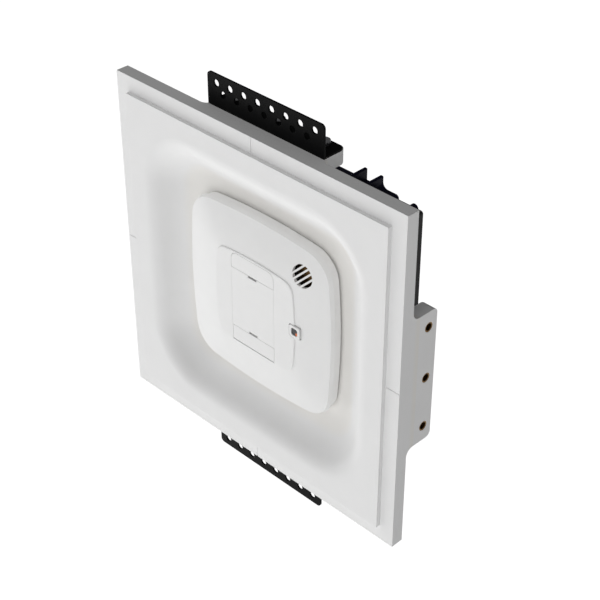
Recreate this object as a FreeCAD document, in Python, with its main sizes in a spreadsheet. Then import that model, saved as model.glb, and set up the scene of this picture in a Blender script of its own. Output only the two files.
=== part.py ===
"""Trimless plaster-in recess with a twist-lock smoke alarm in it.

Frame: origin at the centre of the border's front face, which is the finished wall face.
+X is to the right, +Y goes into the wall, +Z is up. Millimetres.
"""
import FreeCAD, Part
import math
import os
import Sketcher
from FreeCAD import Placement, Rotation, Vector

doc = FreeCAD.newDocument("RecessedSmokeAlarm")

# ---------------------------------------------------------------- driving dimensions

DIMENSIONS = [
    # plaster frame
    ("panel_half", 132.5), ("border_thickness", 9.65), ("raise_inset", 12.0), ("raise_height", 3.2),
    ("floor_depth", 15.8), ("floor_thickness", 4.5), ("floor_half", 65.5), ("floor_corner", 7.5),
    ("bowl_concave", 37.0), ("bowl_convex", 16.0), ("shell_front_half", 91.5), ("shell_back_half", 76.0),
    ("floor_opening", 62.0), ("mark_width", 0.8), ("mark_depth", 0.4),
    # edge tabs and their threaded inserts
    ("tab_half", 52.0), ("tab_thickness", 10.5), ("tab_depth", 32.5), ("tab_root_radius", 6.0),
    ("tab_tip_radius", 4.0), ("tab_edge_radius", 4.5), ("insert_outer", 3.6), ("insert_inner", 2.7),
    ("insert_depth", 25.0),
    ("insert_pitch", 40.0),
    # perforated brackets
    ("bracket_half", 52.75), ("bracket_sheet", 1.4), ("bracket_front", 12.0), ("bracket_height", 23.8),
    ("bracket_reach", 31.0), ("bracket_corner", 3.0), ("perforation_pitch", 12.7), ("perforation", 2.55),
    ("outer_row", 17.3), ("inner_row", 10.8),
    # backing plate and back box
    ("plate_half_x", 94.1), ("plate_half_z", 92.4), ("plate_front", 54.0), ("plate_sheet", 6.0),
    ("plate_corner", 2.0), ("flange_half", 108.0), ("flange_sheet", 2.5), ("flange_corner", 8.0),
    ("box_wall", 2.5), ("skirt_half", 96.0), ("skirt_corner", 37.0), ("skirt_depth", 24.0),
    ("box_half", 80.8), ("box_corner", 12.0), ("lid_front", 71.5), ("box_depth", 74.0), ("rim_half", 88.0),
    ("rim_corner", 8.0), ("shelf_half", 61.4), ("shelf_top", 84.2), ("shelf_corner", 2.5),
    ("rib_top", 92.9), ("rib_sheet", 2.7), ("rib_rounding", 0.7), ("inner_rib", 30.2),
    ("outer_rib", 44.6), ("rib_hollow", 4.5), ("boss_radius", 4.5), ("boss_place", 101.0),
    ("boss_back", 18.0), ("lug_place_x", 75.2), ("lug_place_z", 80.8), ("lug_radius", 3.2),
    ("lug_front", 44.0), ("lug_bore", 1.5), ("post_place", 41.5), ("post_radius", 5.0),
    ("inlet_place", 48.0), ("inlet_hole", 10.0), ("grommet_bore", 5.0), ("post_bore", 2.05),
    ("post_bore_length", 22.0), ("flange_screw", 2.0), ("flange_screw_head", 3.1),
    ("lid_screw_head", 2.4), ("screw_head_sheet", 2.2),
    # alarm: outside
    ("cover_half", 67.8), ("cover_bulge", 462.0), ("cover_corner", 20.8), ("rim_depth", 4.7),
    ("skirt_back", 8.2), ("skirt_flare", 0.8), ("cover_wall", 2.0), ("insert_half", 38.6),
    ("insert_bulge", 260.0), ("insert_corner", 9.5), ("insert_wall", 1.8), ("dome_foot", 0.8),
    ("strip_half", 20.6), ("strip_middle", -1.5), ("window_inner", 24.1), ("window_outer", 36.8),
    ("window_corner", 5.5), ("sharp_corner", 0.6),
    ("running_gap", 0.3), ("seam_gap", 0.06), ("button_travel", 1.2), ("notch_half", 4.2),
    ("notch_rise", 1.6),
    ("grille_radius", 8.6), ("grille_place_x", 43.7), ("grille_place_z", 46.3), ("slot_width", 2.2),
    ("slot_pitch", 3.56), ("lamp_place_x", 38.7), ("lamp_place_z", 0.1), ("lamp_half", 4.7),
    ("lens_half", 2.8), ("lamp_corner", 1.6),
    # alarm: inside
    ("tray_half", 67.6), ("tray_wall", 3.2), ("tray_front", 10.2), ("tray_sheet", 2.0),
    ("wall_front", 8.5), ("wall_back", 14.2), ("can_radius", 57.5),
    ("can_back", 31.0), ("board_front", 24.0), ("board_sheet", 1.6), ("board_radius", 54.5),
    ("stud_circle", 44.0), ("stud_radius", 2.2), ("stud_head", 4.2), ("base_front", 34.0),
    ("base_sheet", 3.0), ("base_radius", 56.0), ("release_turn", 15.0), ("chamber_radius", 22.0),
    ("chamber_front", 9.5), ("screw_place_x", 61.0), ("screw_place_z", 18.0),
    ("spring_front", 7.1), ("spring_pitch", 1.0), ("spring_length", 3.4), ("spring_radius", 3.3),
    ("spring_wire", 0.28),
]


class Size:
    """A number in millimetres together with the spreadsheet formula that gives it."""

    def __init__(self, value, formula):
        self.value = value
        self.formula = formula

    def __add__(self, other):
        other = size(other)
        return Size(self.value + other.value, f"({self.formula} + {other.formula})")

    def __sub__(self, other):
        other = size(other)
        return Size(self.value - other.value, f"({self.formula} - {other.formula})")

    def __mul__(self, other):
        other = size(other)
        return Size(self.value * other.value, f"({self.formula} * {other.formula})")

    def __neg__(self):
        return Size(-self.value, f"(-1 * {self.formula})")

    __radd__ = __add__
    __rmul__ = __mul__


def size(value):
    """Anything that stands for a length, as a Size."""
    if isinstance(value, Size):
        return value
    return Size(value, f"({value!r})")


def make_sheet():
    """The spreadsheet that holds every driving dimension, and the same dimensions by name."""
    sheet = doc.addObject("Spreadsheet::Sheet", "Dims")
    named = {}
    for row, (alias, value) in enumerate(DIMENSIONS, start=1):
        sheet.set(f"A{row}", alias.replace("_", " "))
        sheet.set(f"B{row}", str(value))
        sheet.setAlias(f"B{row}", alias)
        named[alias] = Size(value, f"Dims.{alias}")
    doc.recompute()
    return named


D = make_sheet()


def bind(target, prop, value):
    """Sets a property from the sheet."""
    target.setExpression(prop, size(value).formula)


# ---------------------------------------------------------------- sketch helpers

def new_body(label):
    body = doc.addObject("PartDesign::Body", label)
    body.Label = label
    body.AllowCompound = True
    return body


def origin_feature(body, role):
    return [item for item in body.Origin.OriginFeatures if item.Role == role][0]


def new_sketch(body, name, role, offset):
    """A sketch on one of the body's origin planes, moved along the plane's normal by offset."""
    sketch = body.newObject("Sketcher::SketchObject", name)
    sketch.AttachmentSupport = [(origin_feature(body, role), "")]
    sketch.MapMode = "FlatFace"
    bind(sketch, "AttachmentOffset.Base.z", offset)
    return sketch


def front_sketch(body, name, depth):
    """A sketch parallel to the wall at a depth: across is X and up is Z."""
    return new_sketch(body, name, "XZ_Plane", -size(depth))


def side_sketch(body, name, place):
    """A sketch square to X at a place along X: across is Y and up is Z."""
    return new_sketch(body, name, "YZ_Plane", place)


def level_sketch(body, name, height):
    """A level sketch at a height: across is X and up is Y."""
    return new_sketch(body, name, "XY_Plane", height)


def point(place):
    return Vector(size(place[0]).value, size(place[1]).value, 0)


def pin(sketch, geometry, vertex, place):
    """Holds a point at its place from the sketch's origin."""
    axes = (("DistanceX", -2, size(place[0])), ("DistanceY", -1, size(place[1])))
    for kind, axis, value in axes:
        if abs(value.value) < 1e-9:
            sketch.addConstraint(Sketcher.Constraint("PointOnObject", geometry, vertex, axis))
            continue
        if value.value > 0:
            number = sketch.addConstraint(Sketcher.Constraint(kind, -1, 1, geometry, vertex, value.value))
        else:
            value = -value
            number = sketch.addConstraint(Sketcher.Constraint(kind, geometry, vertex, -1, 1, value.value))
        bind(sketch, f"Constraints[{number}]", value)


def set_radius(sketch, geometry, radius):
    radius = size(radius)
    number = sketch.addConstraint(Sketcher.Constraint("Radius", geometry, radius.value))
    bind(sketch, f"Constraints[{number}]", radius)


def add_circle(sketch, place, radius):
    number = sketch.addGeometry(Part.Circle(point(place), Vector(0, 0, 1), size(radius).value), False)
    pin(sketch, number, 3, place)
    set_radius(sketch, number, radius)


def add_polygon(sketch, places):
    count = len(places)
    first = sketch.GeometryCount
    for index in range(count):
        ends = point(places[index]), point(places[(index + 1) % count])
        sketch.addGeometry(Part.LineSegment(*ends), False)
    for index in range(count):
        following = first + (index + 1) % count
        sketch.addConstraint(Sketcher.Constraint("Coincident", first + index, 2, following, 1))
        pin(sketch, first + index, 1, places[index])


def add_rectangle(sketch, left, right, low, high):
    add_polygon(sketch, [(left, low), (right, low), (right, high), (left, high)])


def draw_arc(sketch, centre, radius, start, end):
    """An arc drawn anticlockwise from one angle to another, in degrees."""
    circle = Part.Circle(point(centre), Vector(0, 0, 1), size(radius).value)
    arc = Part.ArcOfCircle(circle, math.radians(start), math.radians(end))
    return sketch.addGeometry(arc, False)


def add_arc(sketch, centre, radius, start, end):
    """A drawn arc whose radius the sheet holds."""
    number = draw_arc(sketch, centre, radius, start, end)
    set_radius(sketch, number, radius)
    return number


def tangent(sketch, first, second):
    """Joins the end of one curve to the start of the next one, smoothly."""
    sketch.addConstraint(Sketcher.Constraint("Tangent", first, 2, second, 1))


def add_rounded_rectangle(sketch, left, right, low, high, radius):
    """Rounded by one radius, or by four: high right, high left, low left, low right."""
    left, right, low, high = (size(value) for value in (left, right, low, high))
    radii = [size(value) for value in (radius if isinstance(radius, tuple) else (radius,) * 4)]
    centres = [(right - radii[0], high - radii[0]), (left + radii[1], high - radii[1]),
               (left + radii[2], low + radii[2]), (right - radii[3], low + radii[3])]
    arcs = []
    for quarter, centre in enumerate(centres):
        number = add_arc(sketch, centre, radii[quarter], 90 * quarter, 90 * quarter + 90)
        pin(sketch, number, 3, centre)
        arcs.append(number)
    for quarter in range(4):
        here = arcs[quarter]
        after = arcs[(quarter + 1) % 4]
        ends = sketch.getPoint(here, 2), sketch.getPoint(after, 1)
        side = sketch.addGeometry(Part.LineSegment(*ends), False)
        tangent(sketch, here, side)
        tangent(sketch, side, after)


def add_rounded_square(sketch, half, radius):
    add_rounded_rectangle(sketch, -size(half), half, -size(half), half, radius)


def add_soft_square(sketch, half, bulge, corner):
    """A square whose sides are shallow arcs of radius bulge, joined by corner arcs."""
    half, bulge, corner = size(half), size(bulge), size(corner)
    reach = half - bulge
    # The corner arc's centre lies on the diagonal, bulge - corner away from each side's centre.
    offset = reach.value
    gap = bulge.value - corner.value
    diagonal = (offset + math.sqrt(2 * gap * gap - offset * offset)) / 2
    turn = math.degrees(math.atan2(diagonal, diagonal - offset))
    side_centres = [(reach, 0), (0, reach), (-reach, 0), (0, -reach)]
    signs = [(1, 1), (-1, 1), (-1, -1), (1, -1)]
    sides = []
    corners = []
    for quarter in range(4):
        middle = 90 * quarter
        side = add_arc(sketch, side_centres[quarter], bulge, middle - turn, middle + turn)
        pin(sketch, side, 3, side_centres[quarter])
        centre = (signs[quarter][0] * diagonal, signs[quarter][1] * diagonal)
        corners.append(add_arc(sketch, centre, corner, middle + turn, middle + 90 - turn))
        sides.append(side)
    for quarter in range(4):
        tangent(sketch, sides[quarter], corners[quarter])
        tangent(sketch, corners[quarter], sides[(quarter + 1) % 4])


# ---------------------------------------------------------------- feature helpers

def along_normal(sketch, forward):
    """Whether forward (+X, +Y or +Z) is the sketch's own normal, which is -Y on a front sketch."""
    is_front = sketch.AttachmentSupport[0][0].Role == "XZ_Plane"
    return forward != is_front


def pad(body, sketch, length, forward=True):
    """Pads a sketch; forward is +Y for a front sketch, +X for a side one and +Z for a level one."""
    feature = body.newObject("PartDesign::Pad", f"{sketch.Name}_pad")
    feature.Profile = sketch
    bind(feature, "Length", length)
    feature.Reversed = not along_normal(sketch, forward)
    return feature


def pocket(body, sketch, length, forward=True):
    """Cuts a sketch into the body in the same sense of forward as pad."""
    feature = body.newObject("PartDesign::Pocket", f"{sketch.Name}_pocket")
    feature.Profile = sketch
    bind(feature, "Length", length)
    feature.Reversed = along_normal(sketch, forward)
    return feature


def loft(body, kind, sections, ruled=False):
    feature = body.newObject(f"PartDesign::{kind}", f"{sections[0].Name}_loft")
    feature.Profile = sections[0]
    feature.Sections = sections[1:]
    feature.Ruled = ruled
    return feature


def around(body, feature, count):
    """Repeats a feature evenly about the Y axis."""
    pattern = body.newObject("PartDesign::PolarPattern", f"{feature.Name}_ring")
    pattern.Originals = [feature]
    pattern.Axis = (origin_feature(body, "Y_Axis"), [""])
    pattern.Angle = 360
    pattern.Occurrences = count
    body.Tip = pattern
    return pattern


def in_row(body, feature, sketch, pitch, count):
    """Repeats a feature along its sketch's horizontal axis."""
    pattern = body.newObject("PartDesign::LinearPattern", f"{feature.Name}_row")
    pattern.Originals = [feature]
    pattern.Direction = (sketch, ["H_Axis"])
    pattern.Occurrences = count
    bind(pattern, "Length", size(pitch) * (count - 1))
    body.Tip = pattern
    return pattern


# ---------------------------------------------------------------- primitive helpers

def cylinder(name, place, start, end, radius):
    """A cylinder along Y at place (x, z), from one depth to another."""
    item = doc.addObject("Part::Cylinder", name)
    item.Placement = Placement(Vector(0, 0, 0), Rotation(Vector(1, 0, 0), -90))
    bind(item, "Placement.Base.x", place[0])
    bind(item, "Placement.Base.y", start)
    bind(item, "Placement.Base.z", place[1])
    bind(item, "Height", size(end) - size(start))
    bind(item, "Radius", radius)
    return item


def upright(name, place, low, high, radius):
    """A cylinder along Z at place (x, y), from one height to another."""
    item = doc.addObject("Part::Cylinder", name)
    bind(item, "Placement.Base.x", place[0])
    bind(item, "Placement.Base.y", place[1])
    bind(item, "Placement.Base.z", low)
    bind(item, "Height", size(high) - size(low))
    bind(item, "Radius", radius)
    return item


def block(name, across, deep, tall):
    """A box from its lowest and highest X, Y and Z."""
    item = doc.addObject("Part::Box", name)
    spans = (("x", "Length", across), ("y", "Width", deep), ("z", "Height", tall))
    for axis, prop, (low, high) in spans:
        bind(item, f"Placement.Base.{axis}", low)
        bind(item, prop, size(high) - size(low))
    return item


def fuse(label, pieces):
    item = doc.addObject("Part::MultiFuse", label)
    item.Label = label
    item.Shapes = pieces
    return item


def together(label, pieces):
    """Identical separate pieces that share one node."""
    item = doc.addObject("Part::Compound", label)
    item.Label = label
    item.Links = pieces
    return item


def cut(label, base, tool):
    item = doc.addObject("Part::Cut", label)
    item.Label = label
    item.Base = base
    item.Tool = tool
    return item


NODES = []


def node(item):
    """Marks an object as one of the assembly's pieces."""
    NODES.append(item)
    return item


# ---------------------------------------------------------------- plaster frame and its fixings

def plaster_frame():
    """Square cast panel: thin border, raised centre, round-sided bowl and four edge tabs."""
    body = new_body("plaster_frame")
    border = front_sketch(body, "border_front", 0)
    add_rounded_square(border, D["panel_half"], 0.5)
    pad(body, border, D["border_thickness"])

    raised = front_sketch(body, "raised_front", 0)
    raised_half = D["panel_half"] - D["raise_inset"]
    add_rounded_square(raised, raised_half, 0.6)
    pad(body, raised, D["raise_height"], forward=False)

    shell_front = front_sketch(body, "shell_near_front", D["border_thickness"] - 1)
    front_corner = D["shell_front_half"] - D["floor_half"] + D["floor_corner"]
    add_rounded_square(shell_front, D["shell_front_half"], front_corner)
    shell_back = front_sketch(body, "shell_far_front", D["floor_depth"] + D["floor_thickness"])
    back_corner = D["shell_back_half"] - D["floor_half"] + D["floor_corner"]
    add_rounded_square(shell_back, D["shell_back_half"], back_corner)
    loft(body, "AdditiveLoft", [shell_front, shell_back], ruled=True)

    tab = side_sketch(body, "tab_side", D["panel_half"] - D["tab_thickness"])
    add_tab_outline(tab)
    for step in (-1, 0, 1):
        add_circle(tab, (D["insert_depth"], step * D["insert_pitch"]), D["insert_outer"])
    around(body, pad(body, tab, D["tab_thickness"]), 4)
    inner_edge = level_sketch(body, "tab_inner_edge", -D["tab_half"] - 1)
    add_edge_rounding(inner_edge)
    around(body, pocket(body, inner_edge, D["tab_half"] * 2 + 2), 4)

    corner = D["floor_half"] - D["floor_corner"]
    corner_profile = bowl_sketch(body, "bowl_corner_side", corner)
    groove = body.newObject("PartDesign::Groove", "bowl_corner")
    groove.Profile = corner_profile
    groove.ReferenceAxis = (corner_profile, ["H_Axis"])
    groove.Angle = 360
    around(body, groove, 4)
    side_profile = bowl_sketch(body, "bowl_straight_side", -corner)
    around(body, pocket(body, side_profile, corner * 2), 4)
    middle = front_sketch(body, "bowl_middle_front", -D["raise_height"] - 5)
    add_rectangle(middle, -corner - 1, corner + 1, -corner - 1, corner + 1)
    pocket(body, middle, D["floor_depth"] + D["raise_height"] + 5)

    opening = front_sketch(body, "opening_front", 0)
    add_circle(opening, (0, 0), D["floor_opening"])
    pocket(body, opening, D["floor_depth"] + D["floor_thickness"] + 2)

    screw_hole = front_sketch(body, "screw_hole_front", 3)
    add_circle(screw_hole, (D["boss_place"], D["boss_place"]), D["flange_screw"] + 0.3)
    around(body, pocket(body, screw_hole, D["border_thickness"]), 4)

    mark = front_sketch(body, "mark_front", 0)
    mark_half = D["mark_width"] * 0.5
    add_rectangle(mark, -mark_half, mark_half, raised_half + 1, D["panel_half"] + 1)
    around(body, pocket(body, mark, D["mark_depth"]), 4)
    return body


def add_tab_outline(sketch):
    """Tab seen along X: round tips at its far end, and a hollow round where it meets the panel."""
    root = D["border_thickness"]
    tip = D["tab_depth"]
    half = D["tab_half"]
    hollow = D["tab_root_radius"]
    rounding = D["tab_tip_radius"]
    start = root - 1
    curves = []
    corner_low = (root + hollow, -half - hollow)
    corner_high = (root + hollow, half + hollow)
    tip_low = (tip - rounding, -half + rounding)
    tip_high = (tip - rounding, half - rounding)

    def line(begin, finish):
        curves.append(sketch.addGeometry(Part.LineSegment(point(begin), point(finish)), False))

    def arc(centre, radius, begin, finish):
        curves.append(add_arc(sketch, centre, radius, begin, finish))
        pin(sketch, curves[-1], 3, centre)

    line((start, half + hollow), (start, -half - hollow))
    line((start, -half - hollow), (root, -half - hollow))
    arc(corner_low, hollow, 90, 180)
    line((root + hollow, -half), (tip - rounding, -half))
    arc(tip_low, rounding, 270, 360)
    line((tip, -half + rounding), (tip, half - rounding))
    arc(tip_high, rounding, 0, 90)
    line((tip - rounding, half), (root + hollow, half))
    arc(corner_high, hollow, 180, 270)
    line((root, half + hollow), (start, half + hollow))

    def join(first, second, first_end, second_end, kind="Tangent"):
        ends = curves[first], first_end, curves[second], second_end
        sketch.addConstraint(Sketcher.Constraint(kind, *ends))

    join(0, 1, 2, 1, "Coincident")
    join(1, 2, 2, 2, "Coincident")
    join(2, 3, 1, 1)
    join(3, 4, 2, 1)
    join(4, 5, 2, 1)
    join(5, 6, 2, 1)
    join(6, 7, 2, 1)
    join(7, 8, 2, 2)
    join(8, 9, 1, 1, "Coincident")
    join(9, 0, 2, 1, "Coincident")
    pin(sketch, curves[0], 1, (start, half + hollow))
    pin(sketch, curves[0], 2, (start, -half - hollow))
    sketch.addConstraint(Sketcher.Constraint("Horizontal", curves[1]))
    sketch.addConstraint(Sketcher.Constraint("Horizontal", curves[9]))


def add_edge_rounding(sketch):
    """Waste beyond the round inner edge at a tab's far end, seen from above."""
    radius = D["tab_edge_radius"]
    inner = D["panel_half"] - D["tab_thickness"]
    centre = inner + radius, D["tab_depth"] - radius
    beyond = D["tab_depth"] + 1
    curve = add_arc(sketch, centre, radius, 90, 180)
    pin(sketch, curve, 3, centre)
    places = [(inner, centre[1]), (inner - 1, centre[1]), (inner - 1, beyond), (centre[0], beyond),
              (centre[0], D["tab_depth"])]
    lines = [sketch.addGeometry(Part.LineSegment(point(begin), point(end)), False)
             for begin, end in zip(places, places[1:])]
    chain = [curve] + lines
    for first, second in zip(chain, lines + [curve]):
        sketch.addConstraint(Sketcher.Constraint("Coincident", first, 2, second, 1))
    for line, place in zip(lines, places[1:4]):
        pin(sketch, line, 2, place)
    sketch.addConstraint(Sketcher.Constraint("Horizontal", lines[0]))
    sketch.addConstraint(Sketcher.Constraint("Vertical", lines[3]))


def bowl_sketch(body, name, place):
    """Section of the bowl's lower side at a place along X, with its origin on the corner's axis."""
    sketch = side_sketch(body, name, place)
    bind(sketch, "AttachmentOffset.Base.y", D["floor_corner"] - D["floor_half"])
    floor = D["floor_depth"].value
    front = -D["raise_height"].value
    foot = -D["floor_corner"].value
    hollow = D["bowl_concave"].value
    rounding = D["bowl_convex"].value
    steepness = math.degrees(math.acos(1 - (floor - front) / (hollow + rounding)))
    lip = foot - (hollow + rounding) * math.sin(math.radians(steepness))
    outside = front - 5
    low = add_arc(sketch, (floor - hollow, foot), D["bowl_concave"], 360 - steepness, 360)
    high = add_arc(sketch, (front + rounding, lip), D["bowl_convex"], 180 - steepness, 180)
    places = [(front, lip), (outside, lip), (outside, 0), (floor, 0), (floor, foot)]
    lines = [sketch.addGeometry(Part.LineSegment(point(begin), point(end)), False)
             for begin, end in zip(places, places[1:])]
    lip_line, outside_line, axis_line, floor_line = lines
    for first, second in ((high, lip_line), (lip_line, outside_line), (outside_line, axis_line),
                          (axis_line, floor_line)):
        sketch.addConstraint(Sketcher.Constraint("Coincident", first, 2, second, 1))
    sketch.addConstraint(Sketcher.Constraint("Tangent", floor_line, 2, low, 2))
    sketch.addConstraint(Sketcher.Constraint("Tangent", low, 1, high, 1))
    pin(sketch, low, 3, (D["floor_depth"] - D["bowl_concave"], -D["floor_corner"]))
    pin(sketch, axis_line, 1, (-D["raise_height"] - 5, 0))
    for line in (lip_line, axis_line):
        sketch.addConstraint(Sketcher.Constraint("Horizontal", line))
    for line in (outside_line, floor_line):
        sketch.addConstraint(Sketcher.Constraint("Vertical", line))
    on_face = sketch.addConstraint(Sketcher.Constraint("DistanceX", high, 2, -1, 1, -front))
    bind(sketch, f"Constraints[{on_face}]", D["raise_height"])
    sketch.addConstraint(Sketcher.Constraint("Horizontal", high, 3, high, 2))
    return sketch


def threaded_inserts():
    """Twelve brass sleeves, three in each edge tab."""
    body = new_body("threaded_inserts")
    sketch = side_sketch(body, "insert_side", D["panel_half"] - D["tab_thickness"])
    for step in (-1, 0, 1):
        place = (D["insert_depth"], step * D["insert_pitch"])
        add_circle(sketch, place, D["insert_outer"])
        add_circle(sketch, place, D["insert_inner"])
    around(body, pad(body, sketch, D["tab_thickness"] - 0.2), 4)
    return body


def bracket(label, turn):
    """Perforated angle: one leg lies on a tab, the other stands behind the plasterboard."""
    body = new_body(label)
    base = D["panel_half"]
    sheet = D["bracket_sheet"]
    leg = front_sketch(body, f"{label}_leg_front", D["bracket_front"])
    half = D["bracket_half"]
    radius = D["bracket_corner"]
    add_rounded_rectangle(leg, -half, half, base - radius, base + D["bracket_height"], radius)
    pad(body, leg, sheet)
    foot_trim = front_sketch(body, f"{label}_trim_front", D["bracket_front"] - 1)
    add_rectangle(foot_trim, -half - 1, half + 1, base - radius - 1, base)
    pocket(body, foot_trim, sheet + 2)

    shelf = level_sketch(body, f"{label}_shelf", base)
    near = D["bracket_front"]
    add_rounded_rectangle(shelf, -half, half, near - 5, D["bracket_reach"], 4)
    for step in (-1, 0, 1):
        add_circle(shelf, (step * D["insert_pitch"], D["insert_depth"]), D["insert_inner"])
    pad(body, shelf, sheet)
    front_trim = level_sketch(body, f"{label}_front_trim", base - 1)
    add_rectangle(front_trim, -half - 1, half + 1, near - 6, near)
    pocket(body, front_trim, sheet + 2)

    for name, height, count in (("outer", D["outer_row"], 8), ("inner", D["inner_row"], 7)):
        row = front_sketch(body, f"{label}_{name}_front", D["bracket_front"] - 1)
        start = D["perforation_pitch"] * (-0.5 * (count - 1))
        add_circle(row, (start, base + height), D["perforation"])
        in_row(body, pocket(body, row, sheet + 2), row, D["perforation_pitch"], count)
    body.Placement = Placement(Vector(0, 0, 0), Rotation(Vector(0, 1, 0), turn))
    return body


def bracket_screws():
    """Six pan-head screws that hold the brackets to the tabs' inserts."""
    screws = []
    seat = D["panel_half"] + D["bracket_sheet"]
    tip = D["panel_half"] - D["tab_thickness"]
    for side in (1, -1):
        for step in (-1, 0, 1):
            name = f"bracket_screw_{side + 1}_{step + 1}"
            place = (step * D["insert_pitch"], D["insert_depth"])
            if side > 0:
                shank = upright(f"{name}_shank", place, tip, seat + 1, D["insert_inner"] - 0.25)
                head = upright(f"{name}_head", place, seat, seat + 2.6, 4.4)
            else:
                shank = upright(f"{name}_shank", place, -seat - 1, -tip, D["insert_inner"] - 0.25)
                head = upright(f"{name}_head", place, -seat - 2.6, -seat, 4.4)
            screws.append(fuse(name, [shank, head]))
    return together("bracket_screws", screws)


def backing_plate():
    """Dense board between the box and its collar, open in the middle."""
    body = new_body("backing_plate")
    across = D["plate_half_x"]
    up = D["plate_half_z"]
    outline = front_sketch(body, "board_front", D["plate_front"])
    add_rounded_rectangle(outline, -across, across, -up, up, D["plate_corner"])
    pad(body, outline, D["plate_sheet"])
    through = D["plate_sheet"] + 2
    opening = front_sketch(body, "board_opening_front", D["plate_front"] - 1)
    add_rounded_square(opening, D["box_half"] - D["box_wall"], D["box_corner"] - D["box_wall"])
    pocket(body, opening, through)
    bore_lugs(body, "board_hole", D["plate_front"] - 1, through)
    return body


def at_lugs(sketch, radius):
    """A circle at each of the four places where the lid is screwed on."""
    for right in (1, -1):
        for up in (1, -1):
            add_circle(sketch, (D["lug_place_x"] * right, D["lug_place_z"] * up), radius)


def bore_lugs(body, name, depth, length):
    bores = front_sketch(body, f"{name}_front", depth)
    at_lugs(bores, D["lug_bore"])
    pocket(body, bores, length)


def back_box():
    """Moulded box behind the bowl: flange, wide skirt around the bowl, and an open case."""
    body = new_body("back_box")
    face = D["border_thickness"]
    wall = D["box_wall"]
    rear = D["plate_front"]
    flange = front_sketch(body, "flange_front", face)
    add_rounded_square(flange, D["flange_half"], D["flange_corner"])
    pad(body, flange, D["flange_sheet"])
    skirt = front_sketch(body, "skirt_front", face)
    add_rounded_square(skirt, D["skirt_half"], D["skirt_corner"])
    pad(body, skirt, D["skirt_depth"] - face)
    case = front_sketch(body, "case_front", D["skirt_depth"] - 1)
    add_rounded_square(case, D["box_half"], D["box_corner"])
    pad(body, case, rear - D["skirt_depth"] + 1)
    rim = front_sketch(body, "rim_front", rear - D["flange_sheet"])
    add_rounded_square(rim, D["rim_half"], D["rim_corner"])
    pad(body, rim, D["flange_sheet"])
    lugs = front_sketch(body, "lug_front", D["lug_front"])
    at_lugs(lugs, D["lug_radius"])
    pad(body, lugs, rear - D["lug_front"])
    boss = front_sketch(body, "boss_front", face)
    boss_place = (D["boss_place"], D["boss_place"])
    add_circle(boss, boss_place, D["boss_radius"])
    around(body, pad(body, boss, D["boss_back"] - face), 4)

    hollow = front_sketch(body, "skirt_hollow_front", face - 1)
    add_rounded_square(hollow, D["skirt_half"] - wall, D["skirt_corner"] - wall)
    pocket(body, hollow, D["skirt_depth"] - wall - face + 1)
    inside = front_sketch(body, "case_hollow_front", face)
    add_rounded_square(inside, D["box_half"] - wall, D["box_corner"] - wall)
    pocket(body, inside, rear - face + 1)
    bore_lugs(body, "case_lug_bore", D["lug_front"] + 1, rear - D["lug_front"])
    bore = front_sketch(body, "boss_bore_front", face - 1)
    add_circle(bore, boss_place, D["flange_screw"] + 0.3)
    around(body, pocket(body, bore, D["boss_back"] - face + 2), 4)
    recess = front_sketch(body, "boss_recess_front", D["boss_back"] - D["screw_head_sheet"])
    add_circle(recess, boss_place, D["flange_screw_head"] + 0.2)
    around(body, pocket(body, recess, D["screw_head_sheet"] + 1), 4)
    return body


def box_collar():
    """Rear wall of the box behind the board: rim, shallow case, ribbed shelves and corner lugs."""
    body = new_body("box_collar")
    face = D["plate_front"] + D["plate_sheet"]
    wall = D["box_wall"]
    length = D["lid_front"] - face
    rim = front_sketch(body, "collar_rim_front", face)
    add_rounded_square(rim, D["rim_half"], D["rim_corner"])
    pad(body, rim, D["flange_sheet"])
    case = front_sketch(body, "collar_case_front", face)
    add_rounded_square(case, D["box_half"], D["box_corner"])
    pad(body, case, length)
    add_ribbed_shelves(body, face, length)
    lugs = front_sketch(body, "collar_lug_front", face)
    at_lugs(lugs, D["lug_radius"])
    pad(body, lugs, length)

    inside = front_sketch(body, "collar_hollow_front", face - 1)
    add_rounded_square(inside, D["box_half"] - wall, D["box_corner"] - wall)
    pocket(body, inside, length + 2)
    bore_lugs(body, "collar_lug_bore", face - 1, length + 2)
    return body


def box_lid():
    """Flat rear lid of the box, outlined like the collar, with the cable inlet."""
    body = new_body("box_lid")
    face = D["lid_front"]
    length = D["box_depth"] - face
    sheet = front_sketch(body, "lid_front", face)
    add_rounded_square(sheet, D["box_half"], D["box_corner"])
    pad(body, sheet, length)
    add_ribbed_shelves(body, face, length)
    lugs = front_sketch(body, "lid_lug_front", face)
    at_lugs(lugs, D["lug_radius"])
    pad(body, lugs, length)
    bore_lugs(body, "lid_lug_bore", face - 1, length + 2)
    recess = front_sketch(body, "lug_recess_front", D["box_depth"] - D["screw_head_sheet"])
    at_lugs(recess, D["lid_screw_head"] + 0.1)
    pocket(body, recess, D["screw_head_sheet"] + 1)
    inlet = front_sketch(body, "inlet_front", face - 1)
    add_circle(inlet, (0, D["inlet_place"]), D["inlet_hole"])
    pocket(body, inlet, length + 2)
    return body


def lid_posts():
    """Two posts that stand the base plate off the lid."""
    posts = []
    front = D["base_front"] + D["base_sheet"]
    bore_end = D["base_front"] + D["post_bore_length"]
    for right in (1, -1):
        name = f"lid_post_{right + 1}"
        place = (D["post_place"] * right, 0)
        solid = cylinder(f"{name}_solid", place, front, D["lid_front"], D["post_radius"])
        bore = cylinder(f"{name}_bore", place, front - 1, bore_end, D["post_bore"])
        posts.append(cut(name, solid, bore))
    return together("lid_posts", posts)


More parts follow.
